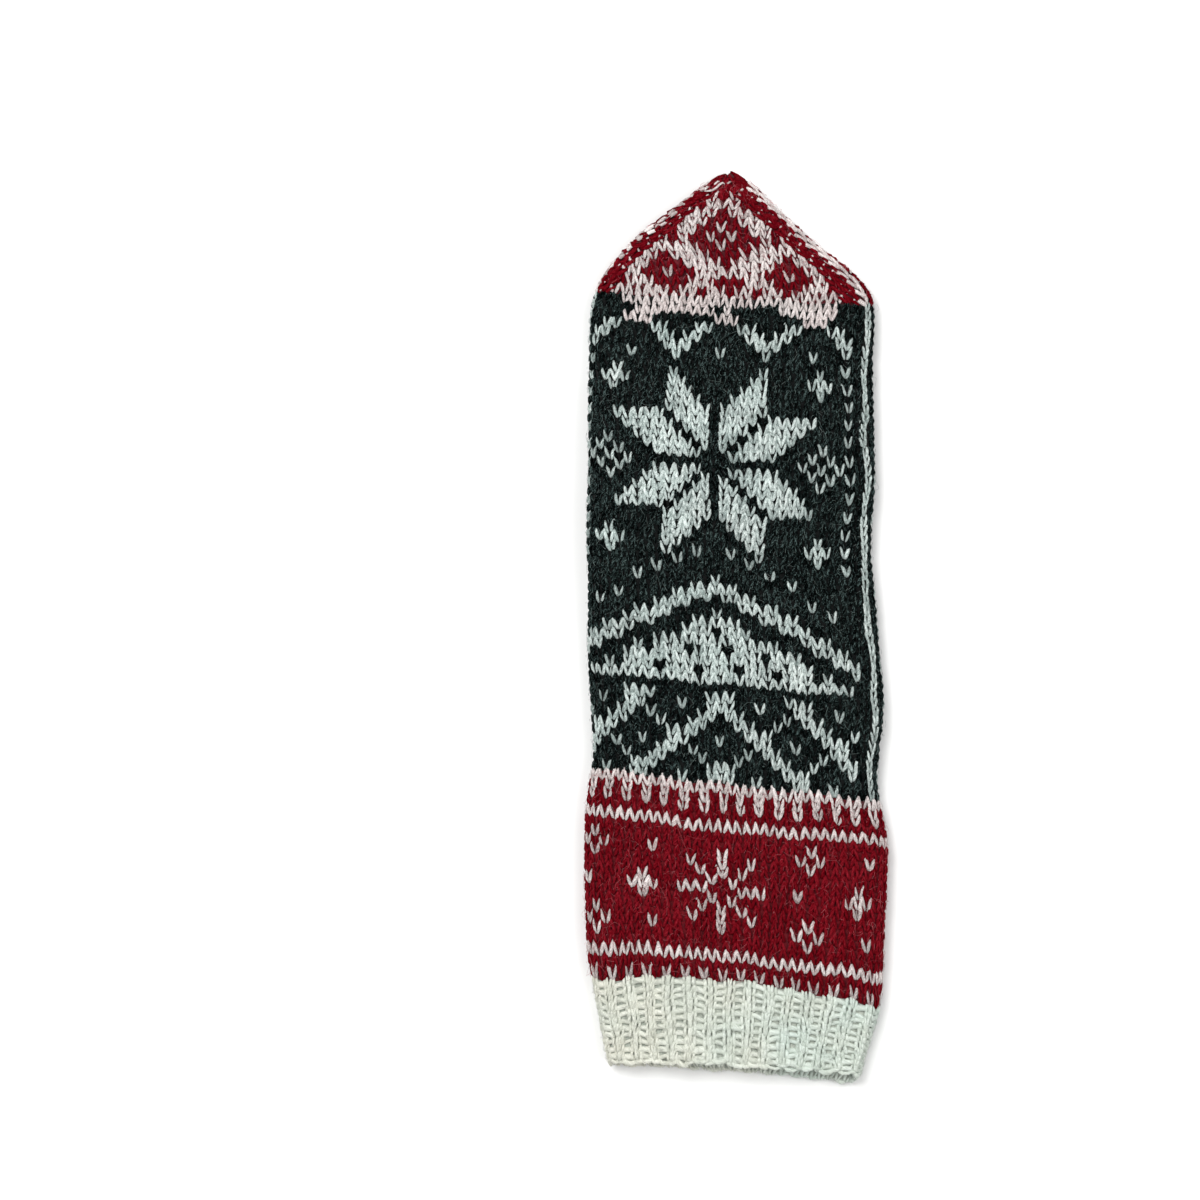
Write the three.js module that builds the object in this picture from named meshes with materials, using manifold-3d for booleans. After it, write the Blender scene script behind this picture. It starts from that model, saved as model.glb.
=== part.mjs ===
// A knitted wool mitten for the right hand, lying flat with its palm down.
// Millimetres, +Z up, fingertips towards +Y. The origin is on the surface under the middle of the mitten.
// It is a flattened hollow tube of knitting in five stretches: ribbed cuff, patterned cuff band, hand,
// pointed fingertip, and a thumb that lies folded flat under the palm.

import * as THREE from "three";
import { mergeVertices } from "three/addons/utils/BufferGeometryUtils.js";
import Module from "manifold-3d";

const wasm = await Module();
wasm.setup();

// Driving dimensions

const wall = 2.2; // two strands of wool, the colour in use and the one carried behind it
const seamGap = 0.3; // between one stretch of knitting and the next
const ribCount = { bottom: 13, side: 2, top: 13 }; // knit columns of the one-by-one rib
const ribDepth = 0.9; // how far the purl columns sink behind the knit columns
const originAlong = 146.5; // from the hem's middle to the origin, along the mitten

// Where each stretch starts, in millimetres from the hem along the middle line.
const hemAt = 0;
const bandAt = 28.3;
const handAt = 93;
const tipAt = 254.7;
const apexAt = 297.6;

// The form of the flattened tube, a row for each section, laid out by the row of knitting at that height.
//   along: distance from the hem on the middle line      left, right: the two folded edges
//   slant: how far the row drops per mm towards +X       bow: how far both ends of the row drop below its middle
//   thick: height at the middle                          edge: height at the folded edges
//   hang: how far the palm layer reaches past the back layer at the right edge
const sections = [
  { along: 0, left: -43.0, right: 41.5, slant: 0.045, bow: 1.0, thick: 11.2, edge: 9.0, hang: 3.3 },
  { along: 10, left: -45.0, right: 43.6, slant: 0.066, bow: 2.4, thick: 11.4, edge: 9.0, hang: 2.0 },
  { along: 20, left: -47.0, right: 46.0, slant: 0.09, bow: 4.0, thick: 11.6, edge: 9.0, hang: 0.8 },
  { along: 28.3, left: -48.6, right: 48.0, slant: 0.104, bow: 4.8, thick: 11.8, edge: 9.2, hang: 0 },
  { along: 36, left: -50.2, right: 49.0, slant: 0.104, bow: 2.6, thick: 12.0, edge: 9.2, hang: 0 },
  { along: 50, left: -50.8, right: 49.6, slant: 0.106, bow: 0.8, thick: 12.4, edge: 9.4, hang: 0 },
  { along: 64, left: -51.1, right: 50.6, slant: 0.105, bow: 0, thick: 12.6, edge: 9.4, hang: 0 },
  { along: 79, left: -50.6, right: 50.8, slant: 0.106, bow: 0, thick: 12.6, edge: 9.4, hang: 0 },
  { along: 90, left: -49.2, right: 49.0, slant: 0.109, bow: 0, thick: 12.4, edge: 9.2, hang: 0 },
  { along: 98, left: -48.0, right: 47.6, slant: 0.108, bow: 0, thick: 12.4, edge: 9.2, hang: 0 },
  { along: 110, left: -48.9, right: 48.2, slant: 0.103, bow: 0, thick: 12.6, edge: 9.4, hang: 0 },
  { along: 122, left: -49.6, right: 49.4, slant: 0.097, bow: 0, thick: 12.8, edge: 9.6, hang: 0 },
  { along: 137, left: -49.8, right: 48.6, slant: 0.091, bow: 0, thick: 12.8, edge: 9.6, hang: 0 },
  { along: 155, left: -50.0, right: 47.2, slant: 0.086, bow: 0, thick: 12.8, edge: 9.6, hang: 0 },
  { along: 175, left: -50.2, right: 45.4, slant: 0.08, bow: 0, thick: 12.8, edge: 9.6, hang: 0 },
  { along: 195, left: -50.0, right: 46.4, slant: 0.073, bow: 0, thick: 12.8, edge: 9.6, hang: 0 },
  { along: 215, left: -49.8, right: 46.3, slant: 0.066, bow: 0, thick: 12.6, edge: 9.6, hang: 0 },
  { along: 235, left: -49.3, right: 45.8, slant: 0.06, bow: 0, thick: 12.2, edge: 9.4, hang: 0 },
  { along: 247, left: -49.2, right: 46.6, slant: 0.052, bow: 0, thick: 11.8, edge: 9.2, hang: 0 },
  { along: 254.7, left: -47.6, right: 46.2, slant: 0.047, bow: 0, thick: 11.4, edge: 9.0, hang: 0 },
  { along: 260, left: -45.3, right: 44.0, slant: 0.045, bow: 0, thick: 11.2, edge: 8.8, hang: 0 },
  { along: 267, left: -40.2, right: 37.2, slant: 0.044, bow: 0, thick: 11.0, edge: 8.6, hang: 0 },
  { along: 275, left: -33.0, right: 26.6, slant: 0.044, bow: 0, thick: 10.6, edge: 8.4, hang: 0 },
  { along: 283, left: -23.2, right: 17.4, slant: 0.044, bow: 0, thick: 10.0, edge: 8.2, hang: 0 },
  { along: 291, left: -13.4, right: 8.7, slant: 0.03, bow: 0, thick: 9.0, edge: 7.8, hang: 0 },
  { along: 297.6, left: -5.3, right: 0.9, slant: 0, bow: 0, thick: 7.2, edge: 7.2, hang: 0 },
];

// The thumb, a flat hollow tube along +Y under the palm. Its base is mitred onto the palm where the palm
// ramps up to pass over it.
const thumb = {
  middle: -25, // of its width
  halfWidth: 16.2,
  height: 9.6,
  wall: 2.2,
  base: 150, // along the mitten, where the palm starts to ramp
  tip: 212,
  taper: 17, // length over which the tip is decreased
  tipHalfWidth: 4.5,
  tipHeight: 6.8,
};
const palmLift = 10.2; // how high the palm is carried over the thumb
const liftSide = 8.5; // width of the palm's fall at each side of the thumb
const liftEnd = 15; // length of the palm's fall past the thumb's tip
const liftMargin = 0.8; // flat palm beyond the thumb's own width

// The soft mound that shows on the back of the hand over the thumb.
const mound = {
  height: 9.2,
  crown: 9, // half the width of its level top
  side: 31, // width of its fall at each side
  rise: 36, // length of its rise, centred on the thumb's base
  fall: 38, // length of its fall past the thumb's tip
};

// Small mathematics

const clamp01 = (t) => Math.min(1, Math.max(0, t));
const smooth = (t) => clamp01(t) ** 2 * (3 - 2 * clamp01(t));
const mix = (a, b, t) => a + (b - a) * t;

// The value of one column at any distance from the hem, on a cubic curve through the table's rows.
function columnAt(column, along) {
  const last = sections.length - 1;
  const v = Math.min(sections[last].along, Math.max(sections[0].along, along));
  let i = sections.findIndex((row) => row.along > v) - 1;
  if (i < 0) i = last - 1;
  const slopeAt = (k) => {
    const before = sections[Math.max(0, k - 1)];
    const after = sections[Math.min(last, k + 1)];
    return (after[column] - before[column]) / (after.along - before.along);
  };
  const [a, b] = [sections[i], sections[i + 1]];
  const step = b.along - a.along;
  const t = (v - a.along) / step;
  return (
    a[column] * (1 + 2 * t) * (1 - t) ** 2 +
    slopeAt(i) * step * t * (1 - t) ** 2 +
    b[column] * t * t * (3 - 2 * t) +
    slopeAt(i + 1) * step * t * t * (t - 1)
  );
}

// How high the palm is lifted over the thumb: a 45 degree ramp at the thumb's base, a level stretch, falls.
function palmLiftAt(x, along) {
  const reach = thumb.halfWidth + liftMargin;
  const across = clamp01(1 - (Math.abs(x - thumb.middle) - reach) / liftSide);
  const ramp = clamp01((along - thumb.base) / palmLift);
  const fall = 1 - smooth((along - thumb.tip - liftMargin) / liftEnd);
  return palmLift * across * ramp * fall;
}

// How high the back of the hand is raised there.
function moundAt(x, along) {
  const across = 1 - smooth((Math.abs(x - thumb.middle) - mound.crown) / mound.side);
  const rise = smooth((along - thumb.base) / mound.rise + 0.5);
  const fall = 1 - smooth((along - thumb.tip) / mound.fall + 0.3);
  return mound.height * across * rise * fall;
}

// From a place on the knitting, across, along and above, to a point in space.
function placed(x, along, z, wide, hangShare) {
  const middle = (columnAt("left", along) + columnAt("right", along)) / 2;
  const beside = (x - middle) / wide;
  const y =
    along -
    columnAt("slant", along) * (x - middle) -
    columnAt("bow", along) * beside * beside -
    columnAt("hang", along) * hangShare * mix(0.3, 1, clamp01((beside + 1) / 2)) -
    originAlong;
  return new THREE.Vector3(x, y, z);
}

// A point on the outer surface. Around runs 0 to 4: the palm from left to right, the right fold, the back
// of the hand from right to left, and the left fold. Sunk is how far it lies inside the form.
function surfacePoint(around, along, sunk = 0) {
  const left = columnAt("left", along);
  const right = columnAt("right", along);
  const edge = columnAt("edge", along);
  const thick = columnAt("thick", along);
  const fold = edge / 2;
  const wide = (right - left) / 2;
  const leg = Math.floor(around) % 4;
  const t = around - Math.floor(around);
  let x, z, backness;
  if (leg === 0) {
    x = mix(left + fold, right - fold, t);
    z = sunk;
    backness = 0;
  } else if (leg === 2) {
    x = mix(right - fold, left + fold, t);
    const beside = Math.abs(2 * t - 1);
    z = edge + (thick - edge) * (1 - smooth((beside - 0.25) / 0.75)) - sunk;
    backness = 1;
  } else {
    const turn = leg === 1 ? Math.PI * (t - 0.5) : Math.PI * (0.5 + t);
    const centre = leg === 1 ? right - fold : left + fold;
    x = centre + (fold - sunk) * Math.cos(turn);
    z = fold + (fold - sunk) * Math.sin(turn);
    backness = (1 + Math.sin(turn)) / 2;
  }
  const lift = mix(palmLiftAt(x, along), moundAt(x, along), backness);
  return placed(x, along, z + lift, wide, 1 - backness);
}

// The outward direction there, from how the surface changes around and along the tube.
function surfaceNormal(around, along) {
  const step = 0.02;
  const behind = surfacePoint((around + 4 - step) % 4, along);
  const ahead = surfacePoint((around + step) % 4, along);
  const below = surfacePoint(around, Math.max(hemAt, along - 0.4));
  const above = surfacePoint(around, Math.min(apexAt, along + 0.4));
  return above.sub(below).cross(ahead.sub(behind)).normalize();
}

// Rings around the tube, as lists of places from 0 to 4, the same number of steps at every section.
function ringPlaces(bottom, side, top) {
  return [bottom, side, top, side].flatMap((steps, leg) =>
    Array.from({ length: steps }, (_, i) => leg + i / steps),
  );
}

// A closed mesh from rings of points. Each ring joins the next; the first and last are joined too when the
// wall turns back on itself, and are closed with a point where caps are given.
function meshOfRings(rings, { startCap, endCap, looped }) {
  const count = rings[0].length;
  const points = rings.flat();
  const faces = [];
  const joins = looped ? rings.length : rings.length - 1;
  for (let j = 0; j < joins; j++) {
    const here = j * count;
    const next = ((j + 1) % rings.length) * count;
    for (let i = 0; i < count; i++) {
      const k = (i + 1) % count;
      faces.push(here + i, next + k, here + k, here + i, next + i, next + k);
    }
  }
  const close = (point, ring, atStart) => {
    points.push(point);
    const tip = points.length - 1;
    for (let i = 0; i < count; i++) {
      const k = (i + 1) % count;
      if (atStart) faces.push(ring * count + i, ring * count + k, tip);
      else faces.push(ring * count + k, ring * count + i, tip);
    }
  };
  if (startCap) close(startCap, 0, true);
  if (endCap) close(endCap, rings.length - 1, false);
  const geometry = new THREE.BufferGeometry().setFromPoints(points);
  geometry.setIndex(faces);
  return geometry;
}

function solidOf(geometry) {
  const merged = mergeVertices(geometry, 1e-3);
  return new wasm.Manifold(
    new wasm.Mesh({
      numProp: 3,
      vertProperties: new Float32Array(merged.attributes.position.array),
      triVerts: new Uint32Array(merged.index.array),
    }),
  );
}

function geometryOf(solid) {
  const mesh = solid.getMesh();
  const geometry = new THREE.BufferGeometry();
  geometry.setAttribute("position", new THREE.BufferAttribute(mesh.vertProperties, 3));
  geometry.setIndex(new THREE.BufferAttribute(mesh.triVerts, 1));
  geometry.computeVertexNormals();
  return geometry;
}

const centreOf = (ring) =>
  ring.reduce((sum, p) => sum.add(p), new THREE.Vector3()).divideScalar(ring.length);

// Evenly spaced distances from one end of a stretch to the other.
const stations = (from, to, steps) =>
  Array.from({ length: steps + 1 }, (_, i) => mix(from, to, i / steps));

// The knitted tube

// One stretch of the tube with both ends open: the outer rings going up, then the inner ones coming down.
function tubeStretch(alongs, places, sunkAt = () => 0) {
  const outer = alongs.map((v) => places.map((p, i) => surfacePoint(p, v, sunkAt(i))));
  const inner = alongs.map((v) =>
    places.map((p) => surfacePoint(p, v).addScaledVector(surfaceNormal(p, v), -wall)),
  );
  return meshOfRings([...outer, ...inner.reverse()], { looped: true });
}

// The one-by-one rib: four places to each rib, two on the raised knit column and two in the sunken purl one.
function ribCuff() {
  const perRib = 4;
  const places = ringPlaces(
    ribCount.bottom * perRib,
    ribCount.side * perRib,
    ribCount.top * perRib,
  );
  const sunkAt = (i) => (i % perRib < 2 ? 0 : ribDepth);
  return tubeStretch(stations(hemAt, bandAt - seamGap, 4), places, sunkAt);
}

const tubePlaces = ringPlaces(18, 5, 14);

function cuffBand() {
  return tubeStretch(stations(bandAt, handAt - seamGap, 7), tubePlaces);
}

// The hand, with closer sections where the palm ramps over the thumb.
function handTube() {
  const rampTop = thumb.base + palmLift;
  const fallEnd = thumb.tip + liftMargin + liftEnd;
  const alongs = [
    ...stations(handAt, thumb.base, 6),
    ...stations(thumb.base, rampTop, 3).slice(1),
    ...stations(rampTop, thumb.tip + liftMargin, 4).slice(1),
    ...stations(thumb.tip + liftMargin, fallEnd, 3).slice(1),
    ...stations(fallEnd, tipAt - seamGap, 4).slice(1),
  ];
  return tubeStretch(alongs, tubePlaces);
}

// The fingertip, closed at the apex inside and out.
function fingertipCap() {
  const outer = stations(tipAt, apexAt, 7).map((v) => tubePlaces.map((p) => surfacePoint(p, v)));
  const innerEnd = apexAt - 2.5 * wall;
  const inner = stations(tipAt, innerEnd, 6).map((v) =>
    tubePlaces.map((p) => surfacePoint(p, v).addScaledVector(surfaceNormal(p, v), -wall)),
  );
  const apex = centreOf(outer.at(-1)).add(new THREE.Vector3(0, wall / 2, 0));
  const innerApex = centreOf(inner.at(-1)).add(new THREE.Vector3(0, wall / 2, 0));
  return meshOfRings([...inner.reverse(), ...outer], { startCap: innerApex, endCap: apex });
}

// The thumb

// A ring round the thumb at one distance along the mitten, inset by the wall's thickness for the inside.
function thumbRing(along, inset) {
  const shrink = Math.sqrt(1 - clamp01((along - thumb.tip + thumb.taper) / thumb.taper) ** 2.2);
  const halfWidth = mix(thumb.tipHalfWidth, thumb.halfWidth, shrink) - inset;
  const height = mix(thumb.tipHeight, thumb.height, shrink) - 2 * inset;
  const fold = height / 2;
  const flat = halfWidth - fold;
  const middle = (columnAt("left", along) + columnAt("right", along)) / 2;
  const foldSteps = 5;
  const flatSteps = 4;
  const ring = [];
  for (const side of [1, -1]) {
    for (let i = 0; i < foldSteps; i++) {
      const turn = (side * Math.PI) / -2 + (Math.PI * i) / foldSteps;
      ring.push([side * flat + fold * Math.cos(turn), fold * Math.sin(turn)]);
    }
    for (let i = 0; i < flatSteps; i++) {
      ring.push([side * mix(flat, -flat, i / flatSteps), side * fold]);
    }
  }
  return ring.map(([x, z]) => {
    const across = thumb.middle + x;
    const y = along - columnAt("slant", along) * (across - middle) - originAlong;
    return new THREE.Vector3(across, y, thumb.height / 2 + z - (thumb.height - height) / 2 + inset);
  });
}

function thumbTube(from, to, steps, inset, capLength) {
  const rings = stations(from, to, steps).map((v) => thumbRing(v, inset));
  const startCap = centreOf(rings[0]);
  const endCap = centreOf(rings.at(-1)).add(new THREE.Vector3(0, capLength, 0));
  return solidOf(meshOfRings(rings, { startCap, endCap }));
}

// The mitten's whole outer form without its hollow, swollen by a gap, to trim the thumb's base against.
function outerForm(gap) {
  const alongs = [
    ...stations(thumb.base - 20, thumb.base, 2),
    ...stations(thumb.base, thumb.base + palmLift, 3).slice(1),
    ...stations(thumb.base + palmLift, thumb.tip + liftMargin, 4).slice(1),
    ...stations(thumb.tip + liftMargin, thumb.tip + liftMargin + liftEnd, 3).slice(1),
  ];
  const rings = alongs.map((v) =>
    tubePlaces.map((p) => surfacePoint(p, v).addScaledVector(surfaceNormal(p, v), gap)),
  );
  return solidOf(
    meshOfRings(rings, { startCap: centreOf(rings[0]), endCap: centreOf(rings.at(-1)) }),
  );
}

const baseRun = 3; // how far the thumb's tube starts behind its mitre, before it is trimmed
const thumbOuter = thumbTube(thumb.base - baseRun, thumb.tip, 8, 0, 0.8);
const thumbHollow = thumbTube(thumb.base - baseRun - 1, thumb.tip - 2, 8, thumb.wall, 0.4);
const thumbSolid = thumbOuter.subtract(thumbHollow).subtract(outerForm(seamGap));

// The thumb's opening through the palm: its hollow, carried on through the ramp.
const openingRun = palmLift + 2;
const thumbOpening = thumbTube(thumb.base - 1, thumb.base + openingRun, 2, thumb.wall + 0.1, 0.2);
const handSolid = solidOf(handTube()).subtract(thumbOpening);

// The assembly

const wool = (colour, roughness) =>
  new THREE.MeshStandardMaterial({ color: colour, roughness, metalness: 0 });
const whiteWool = wool("#dfe2da", 0.92);
const redWool = wool("#7c141d", 0.92);
const charcoalWool = wool("#25292a", 0.95);

function piece(name, geometry, material) {
  const mesh = new THREE.Mesh(geometry, material);
  mesh.name = name;
  return mesh;
}

const mitten = new THREE.Group();
mitten.add(
  piece("rib_cuff", ribCuff(), whiteWool),
  piece("cuff_band", cuffBand(), redWool),
  piece("hand", geometryOf(handSolid), charcoalWool),
  piece("fingertip", fingertipCap(), redWool),
  piece("thumb", geometryOf(thumbSolid), charcoalWool),
);

export default mitten;
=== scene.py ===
import math

import bmesh
import bpy
import numpy as np
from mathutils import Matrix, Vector


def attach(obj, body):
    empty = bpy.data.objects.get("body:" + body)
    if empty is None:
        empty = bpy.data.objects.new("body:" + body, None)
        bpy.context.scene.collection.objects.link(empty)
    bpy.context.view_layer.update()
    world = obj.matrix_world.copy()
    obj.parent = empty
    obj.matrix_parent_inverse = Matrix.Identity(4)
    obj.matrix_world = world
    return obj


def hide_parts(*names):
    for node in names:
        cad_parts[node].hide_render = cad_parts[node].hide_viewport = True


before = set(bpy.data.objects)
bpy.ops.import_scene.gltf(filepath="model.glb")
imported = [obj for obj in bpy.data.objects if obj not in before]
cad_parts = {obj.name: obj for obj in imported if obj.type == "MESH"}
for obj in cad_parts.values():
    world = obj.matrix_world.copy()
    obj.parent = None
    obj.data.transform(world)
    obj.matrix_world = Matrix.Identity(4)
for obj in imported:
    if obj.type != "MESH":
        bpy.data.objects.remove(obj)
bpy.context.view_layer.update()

scene = bpy.context.scene
mm = 0.001

# The lying mitten, in mm from the hem, as the solids have it.
form = {
    "originAlong": 146.5,  # from the hem's middle to the origin
    "bandAt": 28.3,
    "handAt": 93.0,
    "tipAt": 254.7,
    "apexAt": 297.6,
    "closeFrom": 291.0,  # where the last stitches start to draw together
    "wall": 2.2,
    "backing": 1.4,  # depth of the yarn carried behind the stitches
    "unevenness": 1.1,  # how far rows and columns wander
    "puff": 0.6,  # slow rise and fall of the fabric
}
thumbForm = {
    "middle": -25.0,
    "halfWidth": 16.2,
    "height": 9.6,
    "base": 150.0,
    "tip": 212.0,
    "taper": 17.0,
    "tipHalfWidth": 4.5,
    "tipHeight": 6.8,
    "closeFrom": 206.0,  # where its end starts to draw together
}
palmForm = {"lift": 10.2, "side": 8.5, "end": 15.0, "margin": 0.8}
moundForm = {"height": 9.2, "crown": 9.0, "side": 31.0, "rise": 36.0, "fall": 38.0}
pinchForm = {"past": 1.4, "most": 0.97, "power": 2.4, "flattest": 0.35}  # how a closed end draws together

# A row for each section: along, left edge, right edge, slant of the row, bow of the row,
# thickness at the middle, thickness at the folds, how far the palm hangs below the back.
sectionNames = ("along", "left", "right", "slant", "bow", "thick", "edge", "hang")
sections = np.array([
    (0, -43.0, 41.5, 0.045, 1.0, 11.2, 9.0, 3.3),
    (10, -45.0, 43.6, 0.066, 2.4, 11.4, 9.0, 2.0),
    (20, -47.0, 46.0, 0.09, 4.0, 11.6, 9.0, 0.8),
    (28.3, -48.6, 48.0, 0.104, 4.8, 11.8, 9.2, 0),
    (36, -50.2, 49.0, 0.104, 2.6, 12.0, 9.2, 0),
    (50, -50.8, 49.6, 0.106, 0.8, 12.4, 9.4, 0),
    (64, -51.1, 50.6, 0.105, 0, 12.6, 9.4, 0),
    (79, -50.6, 50.8, 0.106, 0, 12.6, 9.4, 0),
    (90, -49.2, 49.0, 0.109, 0, 12.4, 9.2, 0),
    (98, -48.0, 47.6, 0.108, 0, 12.4, 9.2, 0),
    (110, -48.9, 48.2, 0.103, 0, 12.6, 9.4, 0),
    (122, -49.6, 49.4, 0.097, 0, 12.8, 9.6, 0),
    (137, -49.8, 48.6, 0.091, 0, 12.8, 9.6, 0),
    (155, -50.0, 47.2, 0.086, 0, 12.8, 9.6, 0),
    (175, -50.2, 45.4, 0.08, 0, 12.8, 9.6, 0),
    (195, -50.0, 46.4, 0.073, 0, 12.8, 9.6, 0),
    (215, -49.8, 46.3, 0.066, 0, 12.6, 9.6, 0),
    (235, -49.3, 45.8, 0.06, 0, 12.2, 9.4, 0),
    (247, -49.2, 46.6, 0.052, 0, 11.8, 9.2, 0),
    (254.7, -47.6, 46.2, 0.047, 0, 11.4, 9.0, 0),
    (260, -45.3, 44.0, 0.045, 0, 11.2, 8.8, 0),
    (267, -40.2, 37.2, 0.044, 0, 11.0, 8.6, 0),
    (275, -33.0, 26.6, 0.044, 0, 10.6, 8.4, 0),
    (283, -23.2, 17.4, 0.044, 0, 10.0, 8.2, 0),
    (291, -13.4, 8.7, 0.03, 0, 9.0, 7.8, 0),
    (297.6, -5.3, 0.9, 0, 0, 7.2, 7.2, 0),
]).T
sectionTable = dict(zip(sectionNames, sections))


def clamp01(t):
    return np.clip(t, 0.0, 1.0)


def smooth(t):
    t = clamp01(t)
    return t * t * (3 - 2 * t)


def mix(a, b, t):
    return a + (b - a) * t


def columnAt(name, along):  # a cubic curve through one column of the table
    alongs, values = sectionTable["along"], sectionTable[name]
    last = len(alongs) - 1
    v = np.clip(along, alongs[0], alongs[-1])
    i = np.clip(np.searchsorted(alongs, v, side="right") - 1, 0, last - 1)
    before = np.maximum(np.arange(last + 1) - 1, 0)
    after = np.minimum(np.arange(last + 1) + 1, last)
    slopes = (values[after] - values[before]) / (alongs[after] - alongs[before])
    step = alongs[i + 1] - alongs[i]
    t = (v - alongs[i]) / step
    return (
        values[i] * (1 + 2 * t) * (1 - t) ** 2
        + slopes[i] * step * t * (1 - t) ** 2
        + values[i + 1] * t * t * (3 - 2 * t)
        + slopes[i + 1] * step * t * t * (t - 1)
    )


def palmLiftAt(x, along):  # the palm carried up over the folded thumb
    reach = thumbForm["halfWidth"] + palmForm["margin"]
    across = clamp01(1 - (np.abs(x - thumbForm["middle"]) - reach) / palmForm["side"])
    ramp = clamp01((along - thumbForm["base"]) / palmForm["lift"])
    fall = 1 - smooth((along - thumbForm["tip"] - palmForm["margin"]) / palmForm["end"])
    return palmForm["lift"] * across * ramp * fall


def moundAt(x, along):  # what shows of the thumb on the back of the hand
    aside = np.abs(x - thumbForm["middle"]) - moundForm["crown"]
    rise = smooth((along - thumbForm["base"]) / moundForm["rise"] + 0.5)
    fall = 1 - smooth((along - thumbForm["tip"]) / moundForm["fall"] + 0.3)
    return moundForm["height"] * (1 - smooth(aside / moundForm["side"])) * rise * fall


def thumbSection(along):
    past = clamp01((along - thumbForm["tip"] + thumbForm["taper"]) / thumbForm["taper"])
    shrink = np.sqrt(np.maximum(1 - past ** 2.2, 0))
    halfWidth = mix(thumbForm["tipHalfWidth"], thumbForm["halfWidth"], shrink)
    height = mix(thumbForm["tipHeight"], thumbForm["height"], shrink)
    return thumbForm["middle"] - halfWidth, thumbForm["middle"] + halfWidth, height, height


def handSection(along):
    return [columnAt(name, along) for name in ("left", "right", "edge", "thick")]


# Each tube is read round its section from 0 to 4: palm side, right fold, back, left fold.
tubes = {
    "hand": {"section": handSection, "top": form["apexAt"], "close": form["closeFrom"], "thumb": False},
    "thumb": {"section": thumbSection, "top": thumbForm["tip"], "close": thumbForm["closeFrom"],
              "thumb": True},
}


def surfaceAt(tube, around, along):
    left, right, edge, thick = tube["section"](along)
    fold = edge / 2
    leg = np.floor(around) % 4
    t = around - np.floor(around)
    turn = np.where(leg == 1, math.pi * (t - 0.5), math.pi * (0.5 + t))
    centre = np.where(leg == 1, right - fold, left + fold)
    crown = edge + (thick - edge) * (1 - smooth((np.abs(2 * t - 1) - 0.25) / 0.75))
    x = np.select(
        [leg == 0, leg == 2],
        [mix(left + fold, right - fold, t), mix(right - fold, left + fold, t)],
        centre + fold * np.cos(turn),
    )
    z = np.select([leg == 0, leg == 2], [0 * t, crown], fold + fold * np.sin(turn))
    backness = np.select([leg == 0, leg == 2], [0 * t, 0 * t + 1], (1 + np.sin(turn)) / 2)
    drawIn = clamp01((along - tube["close"]) / (tube["top"] + pinchForm["past"] - tube["close"]))
    pinch = np.sqrt(np.maximum(1 - pinchForm["most"] * drawIn ** pinchForm["power"], 0))
    x = mix((left + right) / 2, x, pinch)
    z = mix(edge / 2, z, mix(pinchForm["flattest"], 1, pinch))
    middle = (columnAt("left", along) + columnAt("right", along)) / 2
    y = along - columnAt("slant", along) * (x - middle) - form["originAlong"]
    if not tube["thumb"]:
        z = z + mix(palmLiftAt(x, along), moundAt(x, along), backness)
        beside = (x - middle) / ((right - left) / 2)
        hang = columnAt("hang", along) * (1 - backness) * mix(0.3, 1, clamp01((beside + 1) / 2))
        y = y - columnAt("bow", along) * beside ** 2 - hang
    return np.stack([x, y, z], -1)


def aroundOf(tube, across, along):  # across is measured round the tube from the middle of its back
    left, right, edge = tube["section"](along)[:3]
    flat = right - left - edge
    arc = math.pi * edge / 2
    girth = 2 * (flat + arc)
    s = np.mod(across + girth / 2, girth) - girth / 2
    d = np.abs(s)
    onBack = 2.5 - s / flat
    onFold = np.where(s > 0, 2 - (d - flat / 2) / arc, 3 + (d - flat / 2) / arc)
    onPalm = np.where(s > 0, 1 - (d - flat / 2 - arc) / flat, (d - flat / 2 - arc) / flat)
    around = np.where(d <= flat / 2, onBack, np.where(d <= flat / 2 + arc, onFold, onPalm))
    return np.mod(around, 4)


def girthAt(tube, along):
    left, right, edge = tube["section"](along)[:3]
    return 2 * (right - left - edge) + math.pi * edge


def wander(a, b, seed):  # a slow, smooth unevenness between -1 and 1
    waves = np.random.default_rng(seed)
    total = 0
    for length in (70, 41, 26, 17):
        angle = waves.uniform(0, 2 * math.pi)
        phase = waves.uniform(0, 2 * math.pi)
        total = total + np.sin(2 * math.pi * (a * math.cos(angle) + b * math.sin(angle)) / length + phase)
    return total / 4


def fabricPoint(tube, across, along, height):  # a point on or above the fabric, in metres
    turned, moved = 0.02, 0.4  # how far to each side the slope of the fabric is read
    steady = smooth(along / 12)
    wandered = along + form["unevenness"] * wander(across, along, 3) * steady
    around = aroundOf(tube, across + form["unevenness"] * wander(across, along, 5), wandered)
    here = surfaceAt(tube, around, wandered)
    ahead = surfaceAt(tube, np.mod(around + turned, 4), wandered)
    behind = surfaceAt(tube, np.mod(around - turned, 4), wandered)
    above = surfaceAt(tube, around, np.minimum(wandered + moved, tube["top"] + 1.2))
    below = surfaceAt(tube, around, wandered - moved)
    normal = np.cross(above - below, ahead - behind)
    normal /= np.maximum(np.linalg.norm(normal, axis=-1, keepdims=True), 1e-9)
    raised = height + form["puff"] * (wander(across, along, 8) - 1) * 0.5
    point = here + normal * raised[..., None]
    point[..., 2] = np.maximum(point[..., 2], 0.0)
    return point * mm


# Yarn

rng = np.random.default_rng(20)


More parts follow.
